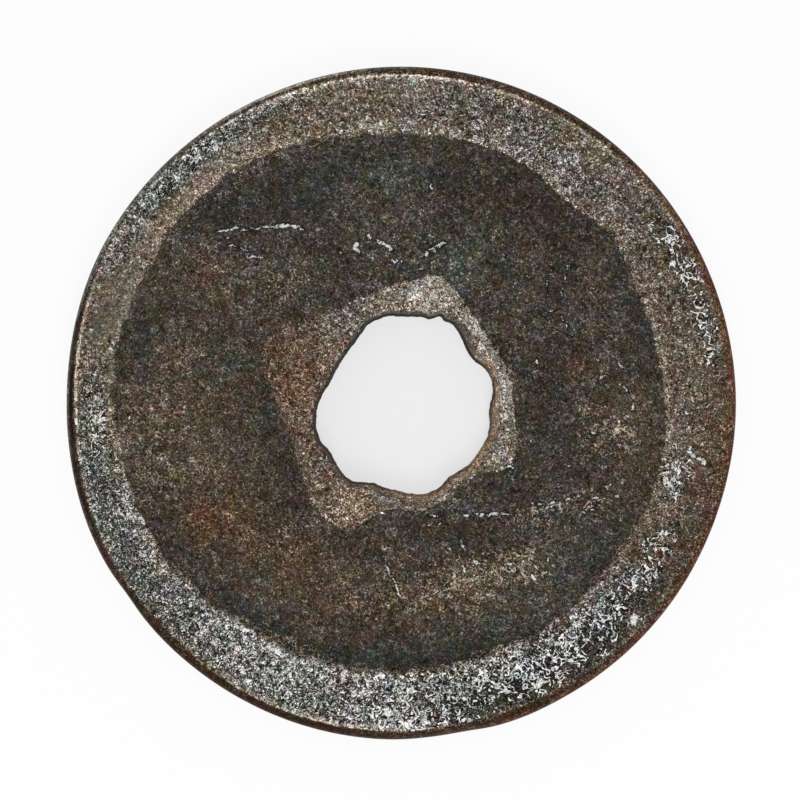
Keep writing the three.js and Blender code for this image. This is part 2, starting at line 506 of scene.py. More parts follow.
# %% The coat of the field
field_strokes = [
    # finish, centre x, y, half widths, turn in degrees, amount
    ("earth", -7.0, 0.0, 3.2, 3.6, 0, 0.7), ("earth", -4.0, -6.2, 3.6, 1.8, -25, 0.9),
    ("earth", 1.0, -7.0, 3.0, 1.2, 8, 0.9), ("ochre", -4.4, -5.3, 1.5, 0.6, -20, 0.5),
    ("ochre", -6.2, -3.6, 1.0, 0.6, 10, 0.5), ("rust", -7.2, -4.4, 1.2, 0.7, -30, 0.6),
    ("umber", -5.9, -6.1, 1.4, 0.6, -30, 0.5), ("tan", -7.6, -2.6, 1.2, 0.7, 0, 0.6),
    ("moss", 0.5, 8.3, 3.4, 1.3, 0, 0.8), ("soot", -3.4, 7.9, 2.2, 1.3, 25, 0.85),
    ("soot", -6.8, 6.8, 1.4, 1.0, 40, 0.5), ("umber", 5.0, 7.3, 3.4, 1.6, -36, 1.0),
    ("umber", 2.2, 7.6, 1.3, 1.2, 0, 0.6), ("plum", 0.3, 7.0, 1.2, 0.5, 0, 0.8),
    ("rust", -1.3, 7.6, 0.5, 0.4, 0, 0.3), ("moss", 2.2, 5.4, 1.6, 1.2, 0, 0.9),
    ("umber", 4.6, 4.4, 1.8, 1.5, 0, 0.4), ("dust", 7.0, 4.2, 0.9, 0.9, 0, 0.4),
    ("soot", 8.7, 3.2, 0.6, 2.2, 14, 0.6), ("umber", 5.2, 1.2, 1.5, 1.7, 0, 0.75),
    ("soot", 5.7, -1.4, 1.2, 0.9, 0, 0.5), ("rust", 6.7, 1.3, 0.5, 0.4, 0, 0.5),
    ("rust", 7.2, -0.3, 0.4, 0.3, 0, 0.5), ("earth", 8.5, -1.6, 1.2, 2.4, 0, 0.7),
    ("umber", 4.4, -3.2, 0.9, 0.9, 0, 0.6), ("plum", 6.6, -3.2, 1.6, 0.9, 0, 0.4),
    ("umber", 1.6, -4.7, 2.2, 0.6, 0, 0.8), ("umber", 3.2, -5.2, 1.2, 0.6, 0, 0.6),
    ("tan", 4.7, -6.1, 0.7, 0.5, -30, 0.9), ("tan", 2.5, -6.6, 1.6, 0.7, 15, 0.5),
    ("moss", 6.3, -5.9, 1.8, 0.8, 46, 0.8), ("soot", 7.4, -5.6, 1.4, 0.5, 50, 0.6),
    ("moss", 3.6, -8.5, 3.0, 0.5, 16, 0.8), ("soot", 2.4, -9.1, 3.0, 0.5, 8, 0.8),
    ("soot", -1.4, -9.4, 3.0, 0.5, -5, 1.0), ("soot", -5.4, -7.9, 2.2, 0.4, -37, 0.95),
    ("umber", -8.3, -5.2, 1.4, 0.6, -56, 0.6), ("umber", -1.5, -8.5, 2.2, 0.4, 0, 0.6),
    ("tan", -5.9, -4.9, 0.4, 0.4, 0, 0.9), ("moss", -5.0, -6.3, 0.4, 0.5, 0, 0.6),
    ("moss", -9.3, 3.6, 1.0, 1.6, -20, 0.2), ("tan", -10.1, -0.6, 0.5, 1.4, 0, 0.6),
    ("tan", -8.7, -0.4, 1.0, 1.4, -30, 0.6), ("soot", -9.7, 2.3, 0.6, 0.8, 0, 0.75),
    ("umber", -10.4, 1.4, 0.4, 0.6, 0, 0.6), ("moss", -6.4, 1.5, 1.0, 0.9, 0, 0.7),
    ("umber", -6.3, -0.6, 0.9, 1.1, 0, 0.4), ("soot", -4.9, -0.7, 0.5, 1.5, 18, 0.8),
    ("umber", -3.9, -2.9, 0.3, 1.0, 18, 0.6), ("rust", -7.1, 4.9, 0.6, 0.6, 0, 0.5),
    ("tan", -6.8, 4.0, 0.3, 0.3, 0, 1.0), ("dust", -8.3, 4.9, 0.9, 0.6, 60, 0.4),
    ("plum", -5.3, 6.0, 1.2, 0.4, 0, 0.6), ("umber", -3.4, 5.8, 1.0, 0.6, 0, 0.5),
    ("dust", -4.2, 4.4, 0.8, 0.5, 20, 0.5), ("umber", -1.2, -5.2, 1.2, 0.7, 0, 0.5),
    ("umber", -4.3, -4.0, 0.9, 0.9, 0, 0.5), ("umber", 7.7, 1.0, 0.9, 0.7, 0, 0.5),
    ("dust", -8.6, -3.0, 0.7, 0.9, 0, 0.5), ("dust", -9.9, -1.0, 0.4, 1.0, 0, 0.6),
]
obverse_field_strokes = [
    ("earth", -4.5, 5.0, 3.0, 1.6, 30, 0.7), ("soot", 6.5, 5.0, 1.4, 2.6, 40, 0.7),
    ("umber", 5.5, -5.0, 3.0, 1.6, -40, 0.8), ("moss", -6.0, -4.0, 2.4, 2.0, 20, 0.7),
    ("tan", -6.8, 2.0, 1.2, 0.7, 20, 0.7), ("ochre", 1.5, -7.2, 1.6, 0.6, 10, 0.6),
    ("rust", 6.9, -1.0, 0.7, 0.5, 0, 0.5), ("dust", -1.0, 6.8, 1.8, 0.7, 10, 0.6),
    ("soot", 0.0, -9.2, 4.0, 0.5, 0, 0.8), ("plum", 4.0, 6.6, 1.2, 0.8, -30, 0.5),
    ("tan", 7.4, 1.6, 0.7, 1.2, 0, 0.5), ("soot", -8.8, 3.6, 0.6, 1.8, -20, 0.6),
]
paint_coat(
    "field", "patina", (field_strokes, looks_up), (obverse_field_strokes, ~looks_up)
)

# %% [markdown]
# The rim and the border are rubbed. At the bottom and the lower left the rim is worn to a
# silvery, coarsely speckled metal whose bright specks are partly a painted highlight of the low
# light, and at the top and right it keeps a tan film. Thin cream arcs along the rim's outer
# arris at the top and bottom are painted highlights on rubbed metal. The border is cream on
# top, orange clay on the left and sandy below.

# %% The coat of the rim and the border
raised_strokes = [
    # arcs on the rim: finish, radius, half width, angle, half angle, amount
    ("sand", 11.0, 0.55, 141, 23, 0.85), ("slate", 11.9, 0.5, 131, 24, 1.0),
    ("film", 11.1, 1.1, 162, 9, 1.0), ("film", 10.7, 0.3, 176, 6, 0.8),
    ("sand", 11.7, 0.6, 93, 13, 0.95), ("sand", 10.3, 0.4, 95, 30, 0.5),
    ("lilac", 10.6, 0.6, 62, 18, 0.9), ("slate", 11.4, 0.4, 72, 10, 0.4),
    ("brown rim", 11.7, 0.7, 40, 16, 0.5), ("dark rim", 11.6, 0.5, 24, 14, 0.7),
    ("dark rim", 10.6, 0.4, 32, 6, 0.3), ("brown rim", 10.3, 0.4, 14, 14, 0.5),
    ("sand", 10.3, 0.4, 350, 12, 0.4), ("brown rim", 11.6, 0.8, -8, 24, 0.9),
    ("edge tan", 12.1, 0.3, 345, 18, 0.7), ("brown rim", 10.5, 0.8, -32, 9, 1.0),
    ("iron", 11.1, 0.8, -50, 16, 0.9), ("dark rim", 11.8, 0.4, -36, 16, 0.9),
    ("dark rim", 11.7, 0.25, -62, 12, 0.6), ("silver", 11.3, 1.3, 240, 32, 0.95),
    ("iron", 11.0, 1.1, 286, 24, 0.9), ("olive", 11.8, 0.6, 208, 18, 1.0),
    ("sand", 12.05, 0.2, 240, 14, 0.7), ("slate", 11.6, 0.7, 194, 16, 0.8),
    # the cream arcs at 12.05 mm, at 260 and 96 degrees, are painted highlights on the rubbed
    # arris
    ("cream", 12.05, 0.14, 260, 18, 0.5), ("cream", 12.06, 0.13, 96, 26, 0.45),
    ("sand", 12.02, 0.16, 54, 20, 0.9),
    # ovals on the rim
    ("sand", 7.9, 8.9, 1.2, 0.5, -42, 0.4), ("cream", -0.95, 10.3, 0.5, 0.25, 0, 0.7),
    ("brown rim", 0.45, -11.0, 0.45, 0.8, 0, 0.8), ("cream", 8.61, -8.02, 0.24, 0.19, 0, 1.0),
    ("brown rim", -7.2, -7.4, 0.6, 0.3, -45, 0.4),
    # the border
    ("sand", 0.0, 0.0, 5.0, 5.0, 0, 0.8), ("cream", 0.9, 4.2, 1.9, 0.8, 0, 1.0),
    ("cream", 3.1, 2.3, 1.1, 0.5, -55, 1.0), ("cream", 3.95, 0.3, 0.4, 1.4, 0, 1.0),
    ("sand", 3.8, -1.4, 0.6, 1.2, 0, 0.8), ("lilac", -2.0, 3.5, 1.3, 0.9, 32, 0.9),
    ("clay", -4.0, 1.4, 1.5, 1.7, 20, 1.0), ("clay", -3.5, -1.0, 0.8, 1.6, 15, 0.9),
    ("mauve", -3.0, -2.7, 0.6, 0.8, 25, 0.9), ("amber", -2.0, -4.0, 1.0, 0.6, 0, 0.9),
    ("mauve", -3.2, 2.6, 0.7, 0.4, 30, 0.5), ("amber", 1.4, -3.9, 1.2, 0.4, 10, 0.6),
    ("sand", -0.5, 4.25, 0.7, 0.35, 0, 0.8), ("cream", -0.4, 4.2, 0.6, 0.3, 0, 0.3),
    ("cream", 3.85, -1.8, 0.4, 0.5, 0, 0.5), ("cream", 2.9, 2.9, 0.5, 0.25, -50, 1.0),
    ("clay", -4.2, -0.6, 0.5, 1.0, 0, 0.6), ("clay", -3.0, -3.1, 0.5, 0.5, 0, 0.4),
    ("sand", 1.0, 4.2, 1.2, 0.6, 0, 0.35),
]
obverse_raised_strokes = [
    ("silver", 11.2, 1.2, 60, 34, 0.9), ("sand", 11.2, 0.8, 196, 34, 0.8),
    ("iron", 11.0, 1.0, 128, 18, 0.8), ("slate", 11.4, 0.8, 330, 24, 0.9),
    ("brown rim", 11.0, 1.0, 268, 22, 0.9), ("dark rim", 11.7, 0.5, 240, 12, 0.6),
    ("sand", 0.0, 0.0, 5.8, 5.8, 0, 0.6), ("cream", 3.6, 2.2, 0.7, 1.7, 27, 0.7),
    ("clay", -3.7, -1.8, 0.9, 1.8, 27, 0.9), ("lilac", -1.6, 3.9, 1.6, 0.6, 27, 0.7),
]
paint_coat(
    "raised", "rim", (raised_strokes, looks_up), (obverse_raised_strokes, ~looks_up)
)

# %% [markdown]
# The filed edge is brown, and redder on the right. On the left and lower left its dark patina
# is deepened nearly to black with painted shade on the outer shoulder, and at the upper left a
# pale line is a painted highlight. The wall of the hole shows as a smooth brown band on the
# right and below, where the hole flares. The strokes of the edge fade from its upper shoulder
# down, so that none of them ends in a line.

# %% The coat of the sides
all_round = 999  # a half angle so wide that the stroke has no end
side_strokes = [
    # arcs on the filed edge: finish, radius, half width, angle, half angle, amount
    # the dark and black arcs from 166 to 292 degrees are the edge's dark patina deepened with
    # painted shade on the outer shoulder; the pale arc at 111 degrees is a painted highlight
    ("edge tan", 12.2, 0.14, 8, 42, 0.9), ("edge dark and shade", 12.2, 0.1, 292, 16, 0.7),
    ("edge red", 12.42, 0.15, 344, 46, 1.0), ("edge red", 12.42, 0.11, 30, 24, 0.8),
    ("edge red", 12.42, 0.11, 298, 16, 0.6), ("edge dark and shade", 12.3, 0.2, 250, 28, 0.9),
    ("edge dark and shade", 12.27, 0.1, 213, 14, 0.8), ("edge black shade", 12.25, 0.08, 196, 10, 0.7),
    ("edge black shade", 12.19, 0.08, 180, 9, 1.0), ("edge black shade", 12.3, 0.07, 166, 8, 0.9),
    ("edge grey", 12.4, 0.1, 176, 14, 0.8), ("edge grey", 12.42, 0.16, 145, 22, 1.0),
    ("edge grey", 12.45, 0.1, 92, 10, 0.8), ("edge pale highlight", 12.38, 0.07, 111, 13, 0.9),
    # the wall of the hole
    ("wall brown", 3.4, 1.6, 0, all_round, 1.0), ("wall dark", 3.5, 0.9, 53, 26, 1.0),
    ("wall dark", 3.4, 0.9, 97, 26, 0.9),
]
belly_height, shoulder_height, least_cover = 0.7, 1.3, 0.25
fade = (z - belly_height) / (shoulder_height - belly_height)
fade = np.clip(fade, least_cover, 1.0)
fade[from_middle < edge_radius / mm / 2] = 1.0  # the wall of the hole
paint_coat("side", "edge brown", (side_strokes, fade))

# %% [markdown]
# Wear and painted light show most where the relief turns. They follow the outlines, and their
# strength changes around the coin: how blurred the border is, how far the rim's and the
# border's finish reaches down the slope, how bright the rim's inner crest and its outer arris
# are, which is rubbed metal and a painted highlight, where the edge's brown band starts, how
# wide the wall of the hole shows, and how dark the painted shade in the hole's rim is.

# %% Curves of wear
# the softness of the border's outline, in mm
border_blur = ruler_curve([
    (0, 0.15), (60, 0.2), (90, 0.4), (110, 0.3), (125, 0.6), (150, 0.6), (170, 0.3),
    (190, 0.2), (230, 0.2), (250, 0.3), (270, 0.15), (300, 0.15), (330, 0.25),
])
# how far the finish of the rim and of the border reaches past its outline, in mm
rim_reach = ruler_curve([
    (0, 0.08), (30, 0.05), (60, 0.0), (75, 0.0), (90, 0.09), (105, 0.06), (150, 0.04),
    (225, 0.08), (240, 0.08), (255, 0.13), (270, 0.13), (285, 0.14), (300, 0.1),
    (315, 0.06), (330, 0.12), (345, 0.1),
])
border_reach = ruler_curve([
    (0, 0.03), (30, 0.06), (50, 0.11), (75, -0.06), (90, 0.0), (100, 0.12), (115, 0.1),
    (142, 0.14), (165, 0.0), (225, 0.0), (247, 0.1), (262, 0.0), (330, 0.04), (350, 0.06),
])
# how bright the crest of the rim and the arris are: rubbed metal and a painted highlight
crest_rub_and_highlight = ruler_curve([
    (0, 0.5), (20, 0.5), (45, 0.3), (60, 0.45), (75, 0.5), (95, 0.5), (120, 0.4),
    (150, 0.5), (165, 0.4), (190, 0.4), (215, 0.6), (235, 0.7), (255, 0.9), (270, 0.5),
    (285, 0.4), (310, 0.3), (345, 0.3),
])
arris_rub_and_highlight = ruler_curve([
    (0, 0.0), (40, 0.35), (60, 0.4), (75, 0.6), (90, 1.1), (110, 0.7), (130, 0.4),
    (148, 0.9), (165, 0.8), (180, 1.8), (195, 0.9), (210, 0.3), (225, 0.1), (242, 0.3),
    (255, 0.8), (270, 1.1), (280, 0.2), (290, 0.0), (315, 0.15), (330, 0.0),
])
# the radius where the edge's brown band starts, in mm
band_start = ruler_curve([
    (0, 12.13), (15, 12.07), (30, 12.14), (45, 12.14), (60, 12.15), (75, 12.12), (90, 12.17),
    (105, 12.18), (120, 12.2), (135, 12.24), (150, 12.23), (165, 12.17), (180, 12.06),
    (195, 12.1), (210, 12.12), (225, 12.05), (240, 12.14), (255, 12.13), (270, 12.1),
    (285, 12.03), (300, 12.08), (315, 12.1), (330, 12.08), (345, 12.14),
])
# how dark the painted shade in the hole's rim is, and how wide the wall shows, in mm
hole_shade_strength = ruler_curve([
    (0, 1.0), (15, 0.75), (30, 1.15), (60, 1.05), (90, 1.15), (105, 1.15), (120, 1.3),
    (135, 1.2), (150, 1.05), (165, 1.2), (195, 1.2), (210, 1.1), (225, 0.9), (255, 0.95),
    (270, 0.35), (285, 0.6), (300, 0.75), (315, 0.6), (330, 0.2), (345, 0.6),
])
wall_width = ruler_curve([
    (0, 0.3), (15, 0.27), (30, 0.31), (45, 0.42), (60, 0.28), (75, 0.2), (90, 0.22),
    (105, 0.16), (120, 0.11), (150, 0.1), (180, 0.1), (225, 0.1), (255, 0.18),
    (270, 0.26), (285, 0.27), (300, 0.33), (330, 0.32),
])
print("the brown band is", round(edge_radius / mm - band_start(0), 2), "mm wide on the right")

# %% [markdown]
# A mask is a number on each point of the coin, 0 where it does nothing and about 1 where it
# does most. One says what stands up, one what is a side, and three where the crest and the
# arris get their rubbed metal and painted highlight and where the hole's rim gets its painted
# shade. They are worked out from the outlines themselves, so they stay on the relief when an
# outline is corrected.

# %% Masks that follow the outlines


def rise(value):
    """A soft step from 0 to 1, half way at 0."""
    share = min(max(value + 0.5, 0), 1)
    return share * share * (3 - 2 * share)


def bell(value):
    return math.exp(-value * value)


# where each line lies from its outline, and how far it fades, in mm
side_fade, rim_fade, border_bias = 0.08, 0.12, 0.1
crest_out, crest_width = 0.12, 0.14
arris_in, arris_width = 0.05, 0.05
hole_shade_out, hole_shade_width = 0.06, 0.055
obverse_rim_out, obverse_blur, obverse_crest = 0.12, 0.25, 0.6

masks = {name: np.zeros(len(x)) for name in ("relief", "side", "crest", "arris", "hole_shade")}
for point, (out, turn) in enumerate(zip(from_middle, around_turn)):
    hole, rim = hole_edge(turn) / mm, field_edge(turn) / mm
    border, reach = border_foot(turn) / mm, border_reach(turn)
    rim_start, blur, crest = rim - rim_reach(turn), border_blur(turn), crest_rub_and_highlight(turn)
    if not looks_up[point]:
        rim = rim_start = obverse_field(turn) / mm + obverse_rim_out
        border, reach = obverse_border(turn) / mm, 0.0
        blur, crest = obverse_blur, obverse_crest
    band = band_start(turn)
    edge = rise((out - band) / side_fade)
    wall = rise((hole + wall_width(turn) - out) / side_fade)
    masks["side"][point] = max(edge, wall)
    on_rim = rise((out - rim_start) / rim_fade)
    on_border = rise((border + reach - out) / blur - border_bias)
    masks["relief"][point] = max(on_border, on_rim)
    masks["crest"][point] = crest * bell((out - rim - crest_out) / crest_width)
    arris = arris_rub_and_highlight(turn)
    masks["arris"][point] = arris * bell((out - band + arris_in) / arris_width)
    # the hole's rim gets a line of painted shade where its wall turns under
    hole_shade = hole_shade_strength(turn)
    masks["hole_shade"][point] = hole_shade * bell((out - hole - hole_shade_out) / hole_shade_width)
masks["arris"] *= looks_up
for name, values in masks.items():
    keep(name, "FLOAT", values)
print("side on", int((masks["side"] > 0.5).sum()), "points")

# %% [markdown]
# In places the film is worn through to bare metal, in fine curls and in coarse flakes; on the
# lower rim the fine curls are also a painted highlight. Two last masks say how much of each
# there is. They are brushed on like the coats, but a stroke that lies on another adds to it
# without ever passing 1.

# %% Bare metal
bare_strokes = [
    # fine wear, on the lower rim partly a painted highlight;
    # arcs on the rim, as radius, half width, angle, half angle, amount
    (10.0, 0.3, 288, 13, 0.5), (10.0, 0.3, 243, 12, 0.4), (10.9, 1.0, 244, 26, 0.55),
    (11.6, 0.6, 268, 12, 0.6), (10.5, 0.45, 270, 34, 0.7), (10.7, 0.6, 286, 12, 0.4),
    (10.5, 0.5, 310, 12, 0.4), (10.4, 0.3, 346, 4, 0.4), (11.95, 0.35, 132, 16, 0.35),
    (11.3, 0.4, 183, 8, 0.6), (10.8, 0.4, 203, 10, 0.45), (11.9, 0.3, 93, 10, 0.3),
    (10.2, 0.25, 100, 40, 0.2), (11.9, 0.3, 50, 12, 0.15), (10.8, 0.5, 62, 16, 0.2),
    # and ovals: centre x, y, half widths, turn, amount
    (2.4, -6.6, 1.9, 0.7, 15, 0.5), (7.7, -1.4, 0.8, 0.8, 0, 0.4),
    (7.0, -0.3, 0.5, 0.4, 0, 0.35), (4.5, -4.4, 0.8, 0.3, 0, 0.5),
    (-8.7, -0.3, 0.8, 1.0, 0, 0.3), (-9.3, -3.0, 0.5, 0.7, 0, 0.25),
    (-1.3, -7.3, 1.0, 0.6, 0, 0.35), (0.8, -6.6, 0.9, 0.6, 0, 0.4),
    (-4.4, -5.0, 1.6, 0.6, -20, 0.15), (-4.2, 4.4, 1.0, 0.6, 20, 0.15),
    (3.9, -1.2, 0.4, 1.2, 0, 0.15), (0.9, 4.2, 1.6, 0.6, 0, 0.08), (3.9, 1.0, 0.3, 1.2, 0, 0.2),
    (3.0, 2.4, 0.8, 0.3, -55, 0.25), (-9.0, -1.8, 0.8, 0.8, 0, 0.2),
]
flake_strokes = [
    # coarse flakes, in the same way
    (11.55, 0.36, 25, 10, 0.9), (11.6, 0.3, 14, 6, 0.8), (11.0, 0.75, 305, 12, 0.65),
    (10.9, 0.5, 325, 9, 0.5), (11.0, 0.7, 294, 10, 0.6), (11.0, 0.9, 272, 12, 0.4),
    (10.5, 0.4, 346, 5, 0.6), (11.7, 0.45, 272, 11, 0.5), (11.8, 0.3, 130, 8, 0.3),
    (11.3, 0.3, 183, 6, 0.4), (4.6, -6.1, 0.7, 0.5, -20, 0.8), (5.2, -3.9, 0.6, 0.3, 0, 0.6),
    (2.4, -6.4, 1.6, 0.5, 15, 0.4), (7.1, -3.6, 0.4, 0.3, 0, 0.5),
    (7.6, -1.2, 0.7, 0.6, 0, 0.35), (-0.2, -6.5, 0.25, 0.9, 22, 0.5),
]
obverse_bare_strokes = [
    (11.1, 0.8, 62, 28, 0.55), (11.1, 0.6, 334, 14, 0.4), (11.6, 0.4, 190, 16, 0.3),
    (3.7, 2.2, 0.5, 1.4, 27, 0.3), (-6.8, 2.0, 1.1, 0.7, 20, 0.4), (7.4, 1.6, 0.6, 1.0, 0, 0.3),
]
obverse_flake_strokes = [
    (11.0, 0.6, 40, 10, 0.6), (11.2, 0.5, 318, 9, 0.5), (11.4, 0.4, 206, 7, 0.4),
    (-6.6, 2.2, 0.7, 0.5, 20, 0.4),
]
for name, above, below in (
    ("bare", bare_strokes, obverse_bare_strokes),
    ("flakes", flake_strokes, obverse_flake_strokes),
):
    covered = np.ones(len(x))
    for strokes, where in ((above, looks_up), (below, ~looks_up)):
        for *mark, amount in strokes:
            covered *= 1 - amount * brush(mark) * where
    keep(name, "FLOAT", 1 - covered)
print(len(bare_strokes) + len(flake_strokes), "strokes of bare metal on the reverse")

# %% [markdown]
# The finish is made from three effects that repeat: a signed speckle, a mask of curls, and a
# scratch. Each is a node group with named inputs, built once and placed in the material with
# its own values. These helpers add a node and give back its output, which keeps the groups
# short enough to read as sums.

# %% Node helpers


def new_group(name, inputs, outputs):
    """A node group with a Place input, its own inputs and its outputs."""
    tree = bpy.data.node_groups.new(name, "ShaderNodeTree")
    tree.interface.new_socket("Place", in_out="INPUT", socket_type="NodeSocketVector")
    for socket_name, kind in inputs:
        tree.interface.new_socket(socket_name, in_out="INPUT", socket_type=kind)
    for socket_name, kind in outputs:
        tree.interface.new_socket(socket_name, in_out="OUTPUT", socket_type=kind)
    return tree, tree.nodes.new("NodeGroupInput"), tree.nodes.new("NodeGroupOutput")


def put(socket, value):
    """Links an output to an input, or sets the input to a plain value."""
    if isinstance(value, bpy.types.NodeSocket):
        socket.node.id_data.links.new(value, socket)
    else:
        socket.default_value = value


def operation_node(tree, kind, operation, values):
    """A node of one of the kinds that have an operation, with its first inputs filled in."""
    node = tree.nodes.new(kind)
    node.operation = operation
    for socket, value in zip(node.inputs, values):
        put(socket, value)
    return node


def math_node(tree, operation, *values):
    return operation_node(tree, "ShaderNodeMath", operation, values).outputs[0]


def vector_node(tree, operation, *values):
    node = operation_node(tree, "ShaderNodeVectorMath", operation, values)
    return node.outputs["Value" if operation in ("LENGTH", "DOT_PRODUCT") else "Vector"]


def scaled(tree, colour, factor):
    node = operation_node(tree, "ShaderNodeVectorMath", "SCALE", [colour])
    put(node.inputs["Scale"], factor)
    return node.outputs["Vector"]


def ramp(tree, value, start, end, low_value=0.0, high_value=1.0):
    """Maps start..end to low_value..high_value smoothly and clamps the rest."""
    node = tree.nodes.new("ShaderNodeMapRange")
    node.interpolation_type = "SMOOTHSTEP"
    for socket, amount in zip(node.inputs, (value, start, end, low_value, high_value)):
        put(socket, amount)
    return node.outputs["Result"]


skew_axis = (0.4, 0.5, 0.77)


def turned(tree, place, angle):
    """Turns the place askew, so that a noise doesn't show its square lattice."""
    node = tree.nodes.new("ShaderNodeVectorRotate")
    node.inputs["Axis"].default_value = skew_axis
    node.inputs["Angle"].default_value = math.radians(angle)
    put(node.inputs["Vector"], place)
    return node.outputs["Vector"]


def noise_node(tree, place, scale, detail=2.0, roughness=0.5, distortion=0.0, output="Fac"):
    node = tree.nodes.new("ShaderNodeTexNoise")
    node.inputs["Detail"].default_value = detail
    node.inputs["Roughness"].default_value = roughness
    node.inputs["Distortion"].default_value = distortion
    put(node.inputs["Vector"], place)
    put(node.inputs["Scale"], scale)
    return node.outputs[output]


# %% [markdown]
# The speckle adds up fine grain, clusters of it and broad clouds, because the real one has
# all three at once, and bright hairs, which are the places where a noise crosses its middle.
# It is centred near zero, so it lightens and darkens alike.

# %% Speckle
number, vector = "NodeSocketFloat", "NodeSocketVector"
speckle_group, ins, outs = new_group(
    "speckle", [("Grain", number), ("Clusters", number), ("Clouds", number), ("Fine", number)],
    [("Value", number)],
)
askew = turned(speckle_group, ins.outputs["Place"], 38)
layer_roughness, hair_width, hair_gain, hair_mean = 0.7, 0.1, 0.8, -0.24
grain_gain, cluster_gain, cloud_gain = 1.9, 0.8, 0.8


def speckle_layer(name, share, detail, distortion):
    """A noise centred on zero, whose size is a share of one of the group's inputs."""
    scale = math_node(speckle_group, "DIVIDE", 1 / share, ins.outputs[name])
    layer = noise_node(speckle_group, askew, scale, detail, layer_roughness, distortion)
    return math_node(speckle_group, "SUBTRACT", layer, 0.5)


clusters = speckle_layer("Clusters", 1.0, 1.0, 0.5)
folds = speckle_layer("Grain", 1.4, 0.0, 1.5)
folds = math_node(speckle_group, "ABSOLUTE", folds)
hairs = ramp(speckle_group, folds, 0.0, hair_width, 1.0, 0.0)
hairs = math_node(speckle_group, "MULTIPLY_ADD", hairs, hair_gain, hair_mean)
fine = speckle_layer("Grain", 1.0, 0.0, 1.5)
fine = math_node(speckle_group, "MULTIPLY_ADD", fine, grain_gain, hairs)
fine = math_node(speckle_group, "MULTIPLY", fine, ins.outputs["Fine"])
coarse = math_node(speckle_group, "MULTIPLY_ADD", clusters, cluster_gain, fine)
clouds = speckle_layer("Clouds", 1.0, 2.0, 0.5)
value = math_node(speckle_group, "MULTIPLY_ADD", clouds, cloud_gain, coarse)
put(outs.inputs["Value"], value)
print(len(speckle_group.nodes), "nodes in the speckle")

# %% [markdown]
# Worn metal shows as short curls, like the crests of tiny waves. They are the places where a
# noise crosses its middle, as the hairs are, but wide and sharp, and a second noise cuts them
# into strokes. Around each lies a hollow, which the material darkens.

# %% Curls
curls_group, ins, outs = new_group(
    "curls", [("Size", number), ("Coverage", number), ("Widest", number)],
    [("Mask", number), ("Hollow", number)],
)
scale = math_node(curls_group, "DIVIDE", 1.0, ins.outputs["Size"])
askew = turned(curls_group, ins.outputs["Place"], 25)
folds = noise_node(curls_group, askew, scale, 1.0, 0.6, distortion=0.7)
ridge = math_node(curls_group, "SUBTRACT", folds, 0.5)
ridge = math_node(curls_group, "ABSOLUTE", ridge)
clump_share, clump_gain, clump_mean, coverage_gain = 0.6, 0.5, -0.27, 0.13
mask_edge, hollow_starts, hollow_ends = 0.015, 0.02, 0.08
scale = math_node(curls_group, "MULTIPLY", scale, clump_share)
clumps = noise_node(curls_group, askew, scale, 2.0, 0.8)
clumps = math_node(curls_group, "MULTIPLY_ADD", clumps, clump_gain, clump_mean)
reach = math_node(curls_group, "MULTIPLY_ADD", ins.outputs["Coverage"], coverage_gain, clumps)
reach = math_node(curls_group, "MINIMUM", reach, ins.outputs["Widest"])
beyond = math_node(curls_group, "SUBTRACT", ridge, reach)
present = ramp(curls_group, ins.outputs["Coverage"], 0.0, 0.1)
mask = ramp(curls_group, beyond, -mask_edge, mask_edge, 1.0, 0.0)
put(outs.inputs["Mask"], math_node(curls_group, "MULTIPLY", mask, present))
hollow = ramp(curls_group, beyond, hollow_starts, hollow_ends, 1.0, 0.0)
put(outs.inputs["Hollow"], math_node(curls_group, "MULTIPLY", hollow, present))
print(len(curls_group.nodes), "nodes in the curls")

# %% [markdown]
# A scratch is a long thin oval: 1 in its middle, 0 on its outline and less than 0 outside.
# Its two directions come in as vectors that are already divided by its half length and half
# width, so the group needs no trigonometry.

# %% Scratch
scratch_group, ins, outs = new_group(
    "scratch", [("Middle", vector), ("Along", vector), ("Across", vector)], [("Value", number)]
)
offset = vector_node(scratch_group, "SUBTRACT", ins.outputs["Place"], ins.outputs["Middle"])
along = vector_node(scratch_group, "DOT_PRODUCT", offset, ins.outputs["Along"])
across = vector_node(scratch_group, "DOT_PRODUCT", offset, ins.outputs["Across"])
square = math_node(scratch_group, "MULTIPLY", across, across)
square = math_node(scratch_group, "MULTIPLY_ADD", along, along, square)
put(outs.inputs["Value"], math_node(scratch_group, "SUBTRACT", 1.0, square))
print("node groups:", [group.name for group in bpy.data.node_groups])

# %% [markdown]
# The material mixes its colours as they are seen, which is how they were judged, and one
# gamma node at the end turns them into the values that a shader works with. All of it is read
# at the coin's own coordinates, so the finish stays on the coin when it is moved.

# %% The worn bronze
bronze = bpy.data.materials.new("worn_bronze")
bronze.use_nodes = True
tree = bronze.node_tree
shader = tree.nodes["Principled BSDF"]
place = tree.nodes.new("ShaderNodeTexCoord").outputs["Object"]
split = tree.nodes.new("ShaderNodeSeparateXYZ")
put(split.inputs[0], place)
height = split.outputs["Z"]


def effect(group, **values):
    """Places a group in the material, with its inputs by name."""
    node = tree.nodes.new("ShaderNodeGroup")
    node.node_tree = group
    put(node.inputs["Place"], place)
    for name, value in values.items():
        put(node.inputs[name], value)
    return node


def times(first, second):
    return math_node(tree, "MULTIPLY", first, second)


def painted(name, output="Fac"):
    node = tree.nodes.new("ShaderNodeAttribute")
    node.attribute_name = name
    return node.outputs[output]


def mixed(amount, below, above):
    """Lays one colour over another, by an amount or a mask."""
    node = tree.nodes.new("ShaderNodeMix")
    node.data_type = "VECTOR"
    put(node.inputs["Factor"], amount)
    put(node.inputs[4], below)
    put(node.inputs[5], above)
    return node.outputs[1]


